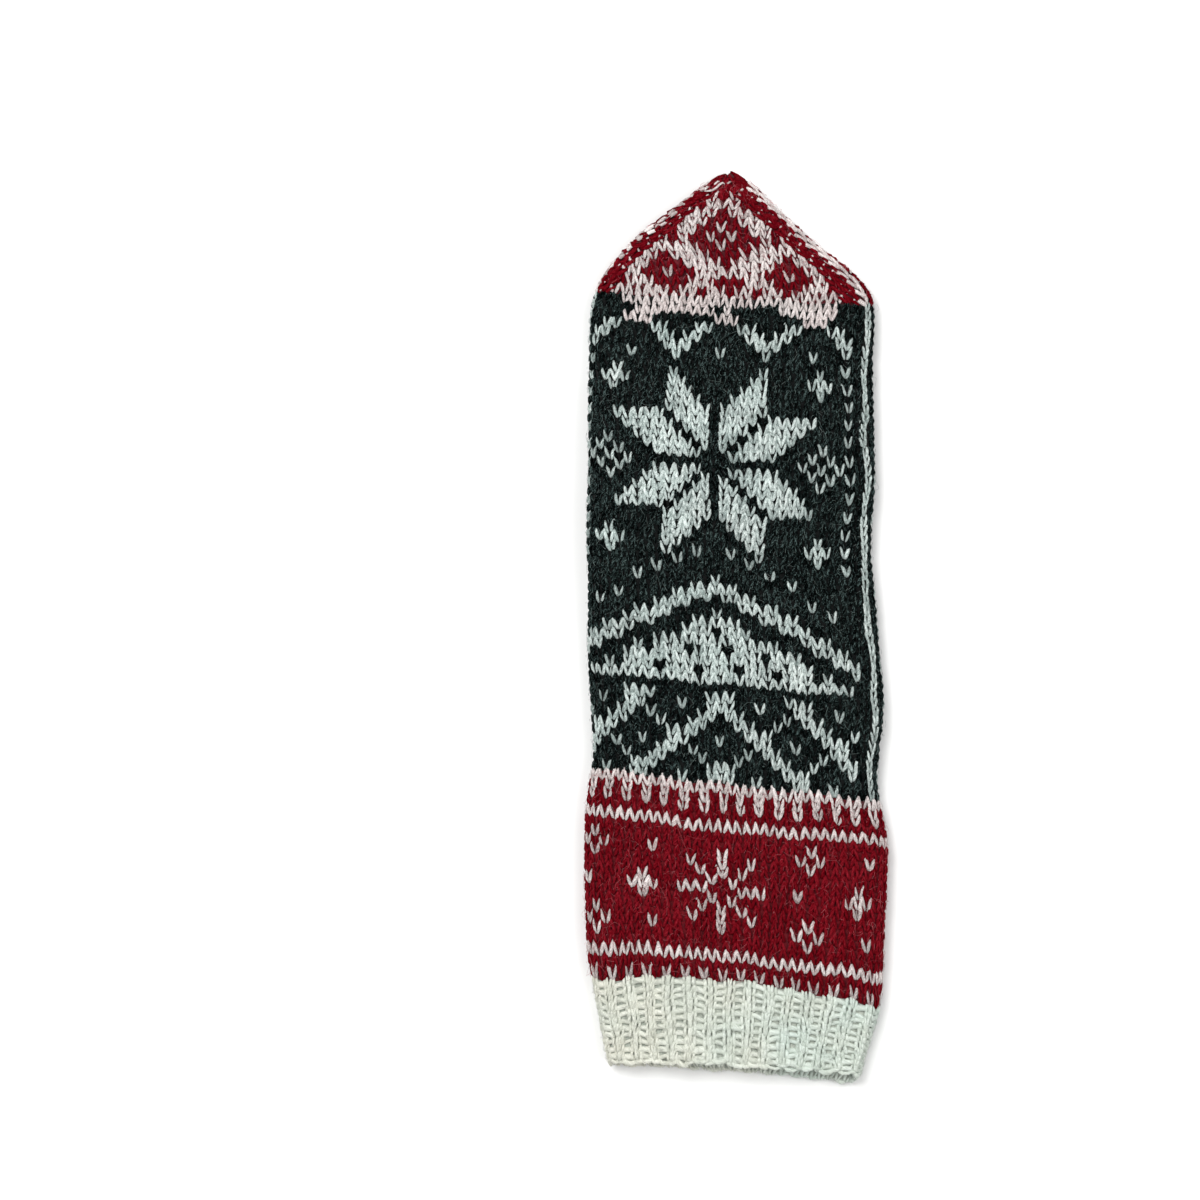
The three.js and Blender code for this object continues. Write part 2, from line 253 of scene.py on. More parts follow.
def sphereTemplate(sides, rings):  # a small sphere as arrays, drawn out and laid down many times
    bm = bmesh.new()
    uvLayer = bm.loops.layers.uv.new("strand")
    bmesh.ops.create_uvsphere(bm, u_segments=sides, v_segments=rings, radius=1.0, calc_uvs=True)
    bmesh.ops.recalc_face_normals(bm, faces=bm.faces)
    bm.verts.ensure_lookup_table()
    x, y, z = np.array([vert.co[:] for vert in bm.verts]).T
    template = {
        "corners": np.array([loop.vert.index for face in bm.faces for loop in face.loops]),
        "sizes": np.array([len(face.loops) for face in bm.faces]),
        "uvs": np.array([loop[uvLayer].uv[:] for face in bm.faces for loop in face.loops]),
        "t": (z + 1) / 2,
        "angle": np.arctan2(y, x),
        "radius": np.hypot(x, y),
    }
    bm.free()
    return template


def strandTemplate(sides, rings):  # a closed spindle of yarn, pinched at both ends
    template = sphereTemplate(sides, rings)
    template["girth"] = template["radius"] ** 0.55
    return template


def hairTemplate():  # a thin three-sided hair, pointed at both ends
    template = sphereTemplate(3, 4)
    template["girth"] = (template["radius"] > 1e-6) * 1.0
    return template


def strandCloud(template, path, girth, flatness, lumps=0.07):
    # path(t) gives the strand's middle for every strand and point; girth is its radius in mm
    t = template["t"][None, :]
    middle = path(t)
    tangent = path(np.minimum(t + 0.02, 1)) - path(np.maximum(t - 0.02, 0))
    tangent /= np.linalg.norm(tangent, axis=-1, keepdims=True)
    sideways = np.cross(tangent, np.array([0.0, 0.0, 1.0]))
    sideways /= np.linalg.norm(sideways, axis=-1, keepdims=True)
    upward = np.cross(sideways, tangent)
    radius = girth * template["girth"][None, :]
    radius = radius * (1 + rng.normal(0, lumps, radius.shape))
    out = middle + sideways * (radius * np.cos(template["angle"]))[..., None]
    return out + upward * (radius * flatness * np.sin(template["angle"]))[..., None]


def joinStrands(name, template, clouds, tones, material):
    # clouds is metres, one row of points for each strand; all are joined as one mesh
    count, size = clouds.shape[0], clouds.shape[1]
    mesh = bpy.data.meshes.new(name)
    corners = (template["corners"][None, :] + size * np.arange(count)[:, None]).ravel()
    starts = np.concatenate([[0], np.cumsum(template["sizes"])[:-1]])
    loops = len(template["corners"])
    mesh.vertices.add(count * size)
    mesh.vertices.foreach_set("co", clouds.astype(np.float32).ravel())
    mesh.loops.add(len(corners))
    mesh.loops.foreach_set("vertex_index", corners.astype(np.int32))
    mesh.polygons.add(count * len(starts))
    allStarts = (starts[None, :] + loops * np.arange(count)[:, None]).ravel()
    mesh.polygons.foreach_set("loop_start", allStarts.astype(np.int32))
    mesh.update(calc_edges=True)
    mesh.validate()
    mesh.polygons.foreach_set("use_smooth", np.ones(len(mesh.polygons), bool))
    uvLayer = mesh.uv_layers.new(name="strand")
    uvLayer.data.foreach_set("uv", np.tile(template["uvs"], (count, 1)).astype(np.float32).ravel())
    tone = mesh.attributes.new("tone", "FLOAT", "POINT")
    tone.data.foreach_set("value", np.repeat(tones, size).astype(np.float32))
    return addPiece(name, mesh, material)


def addPiece(name, mesh, material):
    piece = bpy.data.objects.new(name, mesh)
    scene.collection.objects.link(piece)
    mesh.materials.append(material)
    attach(piece, "root")
    return piece


# Finishes

def linearColour(hexColour):
    channels = [int(hexColour[i:i + 2], 16) / 255 for i in (1, 3, 5)]
    return [c / 12.92 if c <= 0.04045 else ((c + 0.055) / 1.055) ** 2.4 for c in channels] + [1.0]


def addNode(material, kind, settings=None, inputs=None):
    node = material.node_tree.nodes.new(kind)
    for key, value in (settings or {}).items():
        setattr(node, key, value)
    for key, value in (inputs or {}).items():
        if isinstance(value, bpy.types.NodeSocket):
            material.node_tree.links.new(value, node.inputs[key])
        else:
            node.inputs[key].default_value = value
    return node


def addMath(material, operation, *values):  # gives the result of a Math node
    node = addNode(material, "ShaderNodeMath", {"operation": operation}, dict(enumerate(values)))
    return node.outputs[0]


def emptyMaterial(name):
    material = bpy.data.materials.new(name)
    material.use_nodes = True
    material.node_tree.nodes.clear()
    return material


fibreForm = {
    "apart": 61.0,  # how far the fibres of one strand are from those of the next, in the noise
    "flecks": 2400.0,  # single hairs, about 0.4 mm apart
    "patches": 50.0,  # the fleece's own mottling, 20 mm across
    "ends": 0.14,  # the painted shade at a leg's ends gives out where t * (1 - t) reaches this
    "relief": 0.25,  # mm
}


# Woolen-spun sheep's wool: matt, hairy two-ply yarn whose fibres are not all dyed or grown alike,
# so each strand is streaked along its length and every stitch differs a little from the next.
def yarnMaterial(name, look):
    material = emptyMaterial(name)
    strandMap = addNode(material, "ShaderNodeUVMap", {"uv_map": "strand"})
    split = addNode(material, "ShaderNodeSeparateXYZ", None, {0: strandMap.outputs[0]})
    tone = addNode(material, "ShaderNodeAttribute", {"attribute_name": "tone"})
    place = addNode(material, "ShaderNodeTexCoord")
    aside = addNode(material, "ShaderNodeSeparateXYZ", None, {0: place.outputs["Object"]})

    # the fibres wind round the strand, one turn along each leg of a stitch, and no two strands are alike
    wound = addMath(material, "MULTIPLY_ADD", split.outputs[1], look["twist"], split.outputs[0])
    turn = addMath(material, "MULTIPLY", wound, 2 * math.pi)
    cosine = addMath(material, "COSINE", turn)
    sine = addMath(material, "SINE", turn)
    shifted = addMath(material, "MULTIPLY_ADD", tone.outputs["Fac"], fibreForm["apart"], split.outputs[1])
    fibreAt = addNode(material, "ShaderNodeCombineXYZ", None, {0: cosine, 1: sine, 2: shifted})
    fibres = addNode(material, "ShaderNodeTexNoise", None,
                     {"Vector": fibreAt.outputs[0], "Scale": look["fibreScale"], "Detail": 4.0,
                      "Roughness": 0.65})
    flecks = addNode(material, "ShaderNodeTexNoise", None,
                     {"Vector": place.outputs["Object"], "Scale": fibreForm["flecks"], "Detail": 2.0,
                      "Roughness": 0.7})
    patches = addNode(material, "ShaderNodeTexNoise", None,
                      {"Vector": place.outputs["Object"], "Scale": fibreForm["patches"], "Detail": 2.0})

    # dark, main and light fibres
    blend = addMath(material, "MULTIPLY_ADD",
                    flecks.outputs["Fac"], look["fleckShare"], fibres.outputs["Fac"])
    toned = addMath(material, "MULTIPLY_ADD", tone.outputs["Fac"], look["toneShare"], blend)
    halved = addMath(material, "MULTIPLY", toned, 0.5)
    ramp = addNode(material, "ShaderNodeValToRGB", None, {0: halved})
    stops = ramp.color_ramp.elements  # a ramp ends at 1, so its stops are halved too
    stops[0].position, stops[0].color = look["stops"][0] / 2, linearColour(look["dark"])
    stops[1].position, stops[1].color = look["stops"][2] / 2, linearColour(look["light"])
    middleStop = stops.new(look["stops"][1] / 2)
    middleStop.color = linearColour(look["main"])
    # the tint follows the fleece's own patches; where drift is set it also slides along the object's x, a
    # painted cast of the light: creamier to the left, mintier to the right
    drift = addNode(material, "ShaderNodeMath", {"operation": "MULTIPLY_ADD", "use_clamp": True},
                    {0: aside.outputs[0], 1: look["drift"], 2: patches.outputs["Fac"]})
    tint = addNode(material, "ShaderNodeMix", {"data_type": "RGBA", "blend_type": "MIX"},
                   {"Factor": drift.outputs[0], "A": linearColour(look["tintA"]),
                    "B": linearColour(look["tintB"])})
    tinted = addNode(material, "ShaderNodeMix", {"data_type": "RGBA", "blend_type": "MULTIPLY"},
                     {"Factor": 1.0, "A": ramp.outputs["Color"], "B": tint.outputs["Result"]})

    # painted shade: each leg's colour is darkened towards both ends, where they lie between its neighbours
    far = addMath(material, "SUBTRACT", 1.0, split.outputs[1])
    paintedEndShade = addMath(material, "MULTIPLY", split.outputs[1], far)
    paintedEndShadeRamp = addNode(material, "ShaderNodeMapRange", None,
                       {"Value": paintedEndShade, "From Min": 0.0, "From Max": fibreForm["ends"],
                        "To Min": look["paintedEndShade"], "To Max": 1.0})
    shaded = addNode(material, "ShaderNodeMix", {"data_type": "RGBA", "blend_type": "MULTIPLY"},
                     {"Factor": 1.0, "A": tinted.outputs["Result"], "B": paintedEndShadeRamp.outputs["Result"]})

    # the groove between the two plies
    plies = addMath(material, "MULTIPLY", turn, 2.0)
    groove = addMath(material, "COSINE", plies)
    relief = addMath(material, "MULTIPLY_ADD", groove, look["plyRelief"], fibres.outputs["Fac"])
    bump = addNode(material, "ShaderNodeBump", None,
                   {"Strength": look["bump"], "Distance": fibreForm["relief"] * mm, "Height": relief})
    shader = addNode(material, "ShaderNodeBsdfPrincipled", None,
                     {"Base Color": shaded.outputs["Result"], "Roughness": 0.92,
                      "Normal": bump.outputs["Normal"], "Specular IOR Level": look["gloss"],
                      "Sheen Weight": look["sheen"], "Sheen Roughness": 0.55,
                      "Sheen Tint": linearColour(look["sheenTint"])})
    addNode(material, "ShaderNodeOutputMaterial", None, {"Surface": shader.outputs[0]})
    return material


# each yarn below sets how dark the painted shade at its legs' ends gets
charcoalYarn = yarnMaterial("charcoalWoolYarn", {
    "dark": "#000101", "main": "#010404", "light": "#566564", "stops": (0.69, 0.94, 1.0),
    "tintA": "#e8f0ee", "tintB": "#f6fbf8", "drift": 0.0, "twist": 1.0, "fibreScale": 3.2,
    "fleckShare": 0.60, "toneShare": 0.12, "paintedEndShade": 0.28, "plyRelief": 0.25, "bump": 0.8,
    "sheen": 0.0, "sheenTint": "#aab4b2", "gloss": 0.02,
})
whiteWool = {
    "dark": "#525c5b", "main": "#a8b2b0", "light": "#f6faf8", "stops": (0.72, 0.99, 1.28),
    "tintA": "#e9f6f3", "tintB": "#fbfbf9", "drift": 0.0, "twist": 1.0, "fibreScale": 3.6,
    "fleckShare": 0.80, "toneShare": 0.30, "paintedEndShade": 0.66, "plyRelief": 0.45, "bump": 1.0,
    "sheen": 0.08, "sheenTint": "#ffffff", "gloss": 0.12,
}
whiteYarn = yarnMaterial("whiteWoolYarn", whiteWool)
blushYarn = yarnMaterial("blushWhiteWoolYarn", dict(  # white with a pink cast: partly red fluff caught in it, partly painted red light bounced from the crimson beside it
    whiteWool, dark="#625656", main="#b2a9a7", light="#f3efed", stops=(0.63, 0.94, 1.24),
    tintA="#fff6f5", tintB="#f9f9f8", sheenTint="#fff4f4",
))
creamYarn = yarnMaterial("creamWoolYarn", {  # the cuff's softer, creamier white, with a painted cast of the light that turns it mintier to the right
    "dark": "#aeb2aa", "main": "#d0d3cb", "light": "#e9ebe6", "stops": (0.42, 0.76, 1.0),
    "tintA": "#fff9f0", "tintB": "#e8f6f4", "drift": 7.0, "twist": 1.0, "fibreScale": 3.4,
    "fleckShare": 0.45, "toneShare": 0.18, "paintedEndShade": 0.80, "plyRelief": 0.35, "bump": 0.8,
    "sheen": 0.2, "sheenTint": "#ffffff", "gloss": 0.2,
})
redYarn = yarnMaterial("crimsonWoolYarn", {
    "dark": "#1e0003", "main": "#5c000a", "light": "#932430", "stops": (0.46, 0.82, 1.08),
    "tintA": "#ffffff", "tintB": "#fff0ee", "drift": 0.0, "twist": 1.0, "fibreScale": 3.2,
    "fleckShare": 0.52, "toneShare": 0.14, "paintedEndShade": 0.58, "plyRelief": 0.25, "bump": 0.8,
    "sheen": 0.02, "sheenTint": "#c8404c", "gloss": 0.03,
})


# The wool carried behind: purl side and floats, seen only between stitches and inside the cuff.
def backingMaterial(name, wool):
    material = emptyMaterial(name)
    fabric = addNode(material, "ShaderNodeUVMap", {"uv_map": "fabric"})  # mm across and along
    spread = addNode(material, "ShaderNodeMapping", None,
                     {"Vector": fabric.outputs[0], "Scale": (1 / wool["stitch"], 1 / wool["row"], 1.0)})
    loops = addNode(material, "ShaderNodeTexVoronoi", {"feature": "F1"},
                    {"Vector": spread.outputs[0], "Scale": 1.0, "Randomness": 0.35})
    fuzz = addNode(material, "ShaderNodeTexNoise", None,
                   {"Vector": fabric.outputs[0], "Scale": 1.6, "Detail": 3.0, "Roughness": 0.7})
    blend = addMath(material, "MULTIPLY_ADD", loops.outputs["Distance"], 0.6, fuzz.outputs["Fac"])
    # painted shade: the colour runs from light on each loop to dark in the hollows between loops, over the
    # bump that makes them
    ramp = addNode(material, "ShaderNodeValToRGB", None, {0: blend})
    near, far = ramp.color_ramp.elements
    near.position, near.color = 0.5, linearColour(wool["light"])
    far.position, far.color = 1.0, linearColour(wool["dark"])
    bump = addNode(material, "ShaderNodeBump", {"invert": True},
                   {"Strength": 1.0, "Distance": 0.8 * mm, "Height": blend})
    shader = addNode(material, "ShaderNodeBsdfPrincipled", None,
                     {"Base Color": ramp.outputs["Color"], "Roughness": 0.95,
                      "Normal": bump.outputs["Normal"], "Specular IOR Level": 0.15, "Sheen Weight": 0.1})
    addNode(material, "ShaderNodeOutputMaterial", None, {"Surface": shader.outputs[0]})
    return material


# Backing walls

backingForm = {
    "handSides": 96, "thumbSides": 48,
    "ringEvery": 3.2,  # mm between the rings of faces
    "thumbClear": 0.4,  # how far the thumb's wall keeps from the palm, in mm
    "hubOut": 0.4,  # how far a closed end's middle stands out, in mm
}
charcoalBacking = {"dark": "#030404", "light": "#0f1313", "stitch": 3.2}
backings = {  # row and stitch are the loops' height and width in mm; light is the colour on a loop, dark the painted shade between loops
    "ribBacking": {
        "tubeName": "hand", "start": 0.9, "end": form["bandAt"],
        "node": "rib_cuff", "slotName": "white_wool",
        "wool": {"dark": "#969d93", "light": "#cbd0c5", "row": 2.46, "stitch": 3.2},
    },
    "bandBacking": {
        "tubeName": "hand", "start": form["bandAt"], "end": form["handAt"],
        "node": "cuff_band", "slotName": "red_wool",
        "wool": {"dark": "#4a0812", "light": "#84141f", "row": 3.08, "stitch": 3.1},
    },
    "handBacking": {
        "tubeName": "hand", "start": form["handAt"], "end": form["tipAt"],
        "node": "hand", "slotName": "charcoal_wool",
        "wool": dict(charcoalBacking, row=2.99),
    },
    "tipBacking": {
        "tubeName": "hand", "start": form["tipAt"], "end": form["apexAt"], "closed": True,
        "node": "fingertip", "slotName": "red_wool",
        "wool": {"dark": "#35070d", "light": "#7c2730", "row": 2.86, "stitch": 3.3},
    },
    "thumbBacking": {
        "tubeName": "thumb", "start": thumbForm["base"] + 1.5, "end": thumbForm["tip"], "closed": True,
        "node": "thumb", "slotName": "charcoal_wool",
        "wool": dict(charcoalBacking, row=3.0),
    },
}


def backingWall(name, tubeName, start, end, node, slotName, wool, closed=False):
    tube = tubes[tubeName]
    bm = bmesh.new()
    uvLayer = bm.loops.layers.uv.new("fabric")
    sides = backingForm[tubeName + "Sides"]
    bmesh.ops.create_cone(bm, cap_ends=closed, segments=sides, radius1=1, radius2=1, depth=2)
    upright = [e for e in bm.edges if abs(e.verts[0].co.z - e.verts[1].co.z) > 1]
    cuts = max(2, int((end - start) / backingForm["ringEvery"]))
    bmesh.ops.subdivide_edges(bm, edges=upright, cuts=cuts, use_grid_fill=True)
    if closed:  # only the far end keeps its cap
        lower = [f for f in bm.faces if len(f.verts) > 4 and f.calc_center_median().z < 0]
        bmesh.ops.delete(bm, geom=lower, context="FACES_ONLY")
        upper = [f for f in bm.faces if len(f.verts) > 4]
        bmesh.ops.poke(bm, faces=upper)
    points = np.array([v.co[:] for v in bm.verts])
    along = mix(start, end, (points[:, 2] + 1) / 2)
    share = np.arctan2(points[:, 1], points[:, 0]) / (2 * math.pi)
    hub = np.hypot(points[:, 0], points[:, 1]) < 0.5
    across = share * girthAt(tube, along)
    if tubeName == "thumb":  # mitred on to the palm's ramp
        height = surfaceAt(tube, aroundOf(tube, across, along), along)[:, 2]
        ramp = np.minimum(height, thumbForm["height"])
        along = np.maximum(along, thumbForm["base"] + ramp + backingForm["thumbClear"] - form["backing"])
    placed = fabricPoint(tube, across, along, np.full(len(across), -form["backing"]))
    if hub.any():
        top = placed[(points[:, 2] > 0.99) & ~hub].mean(0)
        placed[hub] = top + np.array([0, backingForm["hubOut"] * mm, 0])
    for vert, co in zip(bm.verts, placed):
        vert.co = co
    for face in bm.faces:
        shares = [share[loop.vert.index] for loop in face.loops]
        wraps = max(shares) - min(shares) > 0.5
        for loop, s in zip(face.loops, shares):
            s = s + 1 if wraps and s < 0 else s
            i = loop.vert.index
            loop[uvLayer].uv = (s * girthAt(tube, along[i]), along[i])
        face.smooth = True
    bmesh.ops.recalc_face_normals(bm, faces=bm.faces)
    centre = Vector(placed.mean(0))
    outward = sum(f.normal.x * (f.calc_center_median() - centre).x for f in bm.faces)
    if outward < 0:  # an open tube can come out with its faces turned inward
        bmesh.ops.reverse_faces(bm, faces=bm.faces)
    mesh = bpy.data.meshes.new(name)
    bm.to_mesh(mesh)
    bm.free()
    piece = addPiece(name, mesh, backingMaterial(name + "Wool", wool))
    thickness = piece.modifiers.new("wall", "SOLIDIFY")
    thickness.thickness = (form["wall"] - form["backing"]) * mm
    thickness.offset = -1
    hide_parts(node)


for backingName, settings in backings.items():
    backingWall(backingName, **settings)
print("backing walls made")


# Charts: what colour each stitch is

white, charcoal, red = 0, 1, 2

bandChart = [  # one repeat of the band's figures, top row first
    "......................",
    ".............x........",
    "....x.......x.x....x..",
    ".x..x..x.....x........",
    "..x.x.x...............",
    "...x.x............x...",
    "xxx...xxx...x....xxx..",
    "...x.x............x...",
    "..x.x.x...............",
    ".x..x..x.....x........",
    "....x.......x.x....x..",
    ".............x........",
    "......................",
]
handChart = {
    "starRow": 35,  # the row at the middle of the eight-petal star
    "archFoot": 13,  # the lowest row of the arch
    "trellisRows": 10,
    "zigzagRow": 47,
}


def bandColour(row, column):
    if row in (2, 16, 20):
        return white
    if row in (0, 18, 19):
        return white if column % 2 == 0 else red
    if 3 <= row <= 15:
        return white if bandChart[15 - row][(column + 4) % 22] == "x" else red
    return red


def starAt(x, y):  # a petal is a slanted block five stitches each way
    x, y = abs(x), abs(y)
    if y > x:
        x, y = y, x
    return 1 <= y <= 5 and 1 <= x - y <= 5


def backColour(row, column):
    aside = abs(column)
    star = row - handChart["starRow"]
    if aside >= 15:
        return charcoal
    if row < handChart["trellisRows"]:
        rising, falling = (aside + row) % 8, (row - aside) % 8
        line = rising in (0, 1) or falling == 0
        return white if line or (rising in (4, 5) and falling == 4) else charcoal
    arch = row - (handChart["archFoot"] + 7.5 - 0.55 * aside)
    if 0 <= arch < 2:
        return white
    if row > handChart["trellisRows"] and arch < -2:
        return charcoal if (row % 2 == 0 and (column + row // 2) % 4 == 0) else white
    if 5 <= arch < 6 and aside % 2 == 0 and abs(star) > 11 - aside and aside < 13:
        return white
    if starAt(column, star):
        return white
    if aside == 14 and abs(star) <= 11 and row % 2 == 0:
        return white
    if abs(star) <= 12:
        fromCross = abs(aside - 11) + abs(abs(star) - 9)
        if fromCross <= 1:
            return white
        if abs(aside - 11) + abs(star) in (0, 2) and aside > 8:
            return white
    zigzag = row - handChart["zigzagRow"] - abs((column + 30) % 10 - 5) * 0.8
    if 0 <= zigzag < 1.5:
        return white
    if row == handChart["zigzagRow"] and (column + 30) % 10 == 0:
        return white
    if row >= 52 + (1 if math.sin(column * 0.42 + 0.6) > 0.1 else 0) and aside < 13:
        return white
    return charcoal


def palmColour(row, column):  # single white stitches, staggered
    return white if (row % 4 == 0 and column % 4 == 0) or (row % 4 == 2 and column % 4 == 2) else charcoal


def tipColour(row, column, panel, isPalm):
    inside = (panel - 1) / 2 - 2
    aside = abs(column)
    if aside > inside or row > 11:
        return red
    if isPalm:
        return red if (row % 4 == 1 and column % 4 == 0) or (row % 4 == 3 and column % 4 == 2) else white
    diamond = aside + abs(row - 6)
    if diamond <= 3 and diamond != 1:
        return red
    if abs(aside - 6) + abs(row - 2) <= 2 and not (aside == 6 and row == 2):
        return red
    if (aside, row) in ((0, 0), (0, 1), (1, 1), (3, 0), (11, 1), (9, 4), (5, 6), (5, 7), (2, 10), (0, 11)):
        return red
    return white


# Stitches

stitchForm = {
    "foot": 0.07,  # how far apart a stitch's legs start, as a share of its width
    "spread": 0.41,  # how much further apart they end
    "start": -0.28,  # where they start and how far they run, in rows
    "run": 1.46,
    "girth": 0.57,  # a leg's radius in mm
    "flatness": 0.92,
    "crown": -0.60,  # depth of a leg's middle and of its ends, in mm
    "sunk": -1.45,
    "jitter": 0.20,
}
stitchSeat = 0.3  # where in its row a stitch is seated, as a share of the row
handMade = {  # how much one stitch differs from the next
    "plump": 0.09, "bounce": 0.07, "shift": 0.8,
    "crowd": 0.55,  # how much of a stitch's tone comes from its neighbours: painted shade that darkens a lone stitch
    "legs": 0.15,  # how far the tones of its two legs may lie apart
}
fillForm = {  # fluff that closes the gaps inside an area of white
    "beside": {"start": 0.0, "run": 1.05, "girth": 0.54},  # between neighbours
    "inside": {"start": -0.05, "run": 0.80, "girth": 0.36},  # between the legs of one stitch
    "insideShare": 0.5,
    "depth": -1.05,
    "bow": 0.35,
    "lean": 0.35,
    "plump": 0.15,
    "flatness": 0.9,
}
strand = strandTemplate(6, 5)
plainStrand = strandTemplate(5, 4)  # for what lies hidden: palm, thumb, inside of the cuff, fluff, the apex


def layStitches(rows):  # rows of dictionaries to one dictionary of arrays
    return {key: np.array([row[key] for row in rows]) for key in rows[0]}


def knitLegs(stitches, look, template):  # both legs of every stitch, as clouds over the fabric
    clouds = []
    for side in (-1, 1):
        count = len(stitches["across"])
        wide = stitches["wide"][:, None]
        tall = stitches["tall"][:, None]
        turn = stitches["turn"][:, None]
        swing = rng.normal(0, look["jitter"], (count, 1))
        plump = 1 + rng.normal(0, handMade["plump"], (count, 1))
        shift = rng.normal(0, look["jitter"] * handMade["shift"], (count, 2, 1))
        bounce = rng.normal(0, handMade["bounce"], (count, 1))

        def path(t):
            x = side * wide * (look["foot"] + look["spread"] * t ** 0.9) + swing * (t - 0.5)
            y = tall * (look["start"] + look["run"] * t)
            x, y = x * np.cos(turn) + y * np.sin(turn), y * np.cos(turn) - x * np.sin(turn)
            z = look["sunk"] + (look["crown"] - look["sunk"] + bounce) * np.sin(math.pi * t) ** 0.75
            return np.stack([x + shift[:, 0], y + shift[:, 1], z], -1)

        clouds.append(strandCloud(template, path, look["girth"] * plump, look["flatness"]))
    return clouds


def placeClouds(tube, stitches, clouds):
    placed = []
    for cloud in clouds:
        across = stitches["across"][:, None] + cloud[..., 0]
        along = stitches["along"][:, None] + cloud[..., 1]
        placed.append(fabricPoint(tube, across, along, cloud[..., 2]))
    return placed


yarns = {
    white: (whiteYarn, "white_wool", "White"),
    charcoal: (charcoalYarn, "charcoal_wool", "Charcoal"),
    red: (redYarn, "red_wool", "Red"),
}


def crowdOf(rows):  # how many of a stitch's neighbours are its own colour, as a share
    colours = {(stitch["row"], stitch["column"]): stitch["colour"] for stitch in rows}
    sides = ((0, 1), (0, -1), (1, 0), (-1, 0))
    counts = []
    for stitch in rows:
        beside = [colours.get((stitch["row"] + up, stitch["column"] + over)) for up, over in sides]
        counts.append(beside.count(stitch["colour"]) / 4)
    return np.array(counts)


def knitPiece(name, tubeName, rows, node, look=stitchForm, whiteBall=whiteYarn, template=strand):
    stitches = layStitches(rows)
    tones = rng.uniform(0, 1, len(rows))
    if "row" in stitches:  # a lone stitch gets a darker, duller tone than one in a patch: painted shade for a stitch sunk in among its neighbours
        tones = mix(tones, crowdOf(rows), handMade["crowd"])
    placed = placeClouds(tubes[tubeName], stitches, knitLegs(stitches, look, template))
    for colour, (material, slotName, word) in yarns.items():
        chosen = stitches["colour"] == colour
        if not chosen.any():
            continue
        material = whiteBall if colour == white else material
        cloud = np.concatenate([side[chosen] for side in placed])
        apart = rng.uniform(-handMade["legs"], handMade["legs"], chosen.sum())
        tone = np.concatenate([tones[chosen], tones[chosen] + apart])
        piece = joinStrands(name + word, template, cloud, tone, material)
        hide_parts(node)
        print(name + word, int(chosen.sum()), "stitches")


def layStrands(name, template, path, girth, flatness, seats, material, tones=None):
    cloud = strandCloud(template, path, girth, flatness)
    placed = placeClouds(tubes["hand"], seats, [cloud])[0]
    tones = rng.uniform(0, 1, len(placed)) if tones is None else tones
    return joinStrands(name, template, placed, tones, material)


def fillWhite(name, rows, node, material):
    whites = {(stitch["row"], stitch["column"]): stitch for stitch in rows if stitch["colour"] == white}
    spots = []
    for (row, column), stitch in whites.items():
        stacked = (row + 1, column) in whites or (row - 1, column) in whites
        if stacked and (row, column + 1) in whites:  # a single row keeps its open zigzag
            spots.append(dict(stitch, across=stitch["across"] + stitch["wide"] / 2, **fillForm["beside"]))
        if (row + 1, column) in whites and rng.random() < fillForm["insideShare"]:
            spots.append(dict(stitch, **fillForm["inside"]))
    spots = layStitches(spots)
    count = len(spots["across"])
    lean = rng.normal(0, fillForm["lean"], (count, 1))
    plump = spots["girth"][:, None] * (1 + rng.normal(0, fillForm["plump"], (count, 1)))

    def path(t):
        x = lean * (t - 0.5)
        y = spots["tall"][:, None] * (spots["start"][:, None] + spots["run"][:, None] * t)
        z = fillForm["depth"] - fillForm["bow"] * (2 * t - 1) ** 2 + 0 * x
        return np.stack([x, y, z], -1)

    piece = layStrands(name, plainStrand, path, plump, fillForm["flatness"], spots, material)
    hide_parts(node)


barForm = {"plump": 0.12, "flatness": 0.9, "dropLift": 0.6}  # a bar out of its place is also higher or lower


def layBars(name, rows, look, node="rib_cuff", material=creamYarn):  # strands that lie across
    stitches = layStitches(rows)
    count = len(rows)
    wide, tall = stitches["wide"][:, None], stitches["tall"][:, None]
    drop = rng.normal(0, look["uneven"], (count, 1))
    tilt = rng.normal(0, look["uneven"], (count, 1)) + look["turned"]
    plump = stitches["swell"][:, None] * (1 + rng.normal(0, barForm["plump"], (count, 1)))

    def path(t):
        x = wide * look["reach"] * (2 * t - 1)
        y = tall * look["arch"] * np.sin(math.pi * t) + tilt * x + drop
        rise = look["crown"] - look["sunk"] + drop * barForm["dropLift"]
        return np.stack([x, y, look["sunk"] + rise * np.sin(math.pi * t)], -1)

    girth = look["girth"] * plump
    piece = layStrands(name, strand, path, girth, barForm["flatness"], stitches, material)
    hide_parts(node)


def stitchAt(across, along, wide, tall, colour, **more):  # a stitch in mm, upright unless turn is given
    stitch = {"across": across, "along": along, "wide": wide, "tall": tall, "turn": 0.0, "colour": colour}
    return dict(stitch, **more)


def pitchAt(along, step, stitches):  # how wide each stitch of a round is, at the middle of its row
    return float(girthAt(tubes["hand"], along + step / 2)) / stitches


# Band

bandForm = {"rows": 21, "stitches": 66, "roll": 1.5}
bandStitch = dict(stitchForm, spread=0.45, start=-0.32, run=1.56, girth=0.62)  # slacker than the hand
bandRows = []
bandStep = (form["handAt"] - form["bandAt"]) / bandForm["rows"]
for row in range(bandForm["rows"]):
    along = form["bandAt"] + row * bandStep
    pitch = pitchAt(along, bandStep, bandForm["stitches"])
    for column in range(-bandForm["stitches"] // 2, bandForm["stitches"] // 2):
        bandRows.append(stitchAt(
            (column - bandForm["roll"]) * pitch, along + stitchSeat * bandStep, pitch, bandStep,
            bandColour(row, column), row=row, column=column,
        ))
knitPiece("band", "hand", bandRows, "cuff_band", bandStitch, blushYarn)
fillWhite("bandFluff", bandRows, "cuff_band", blushYarn)

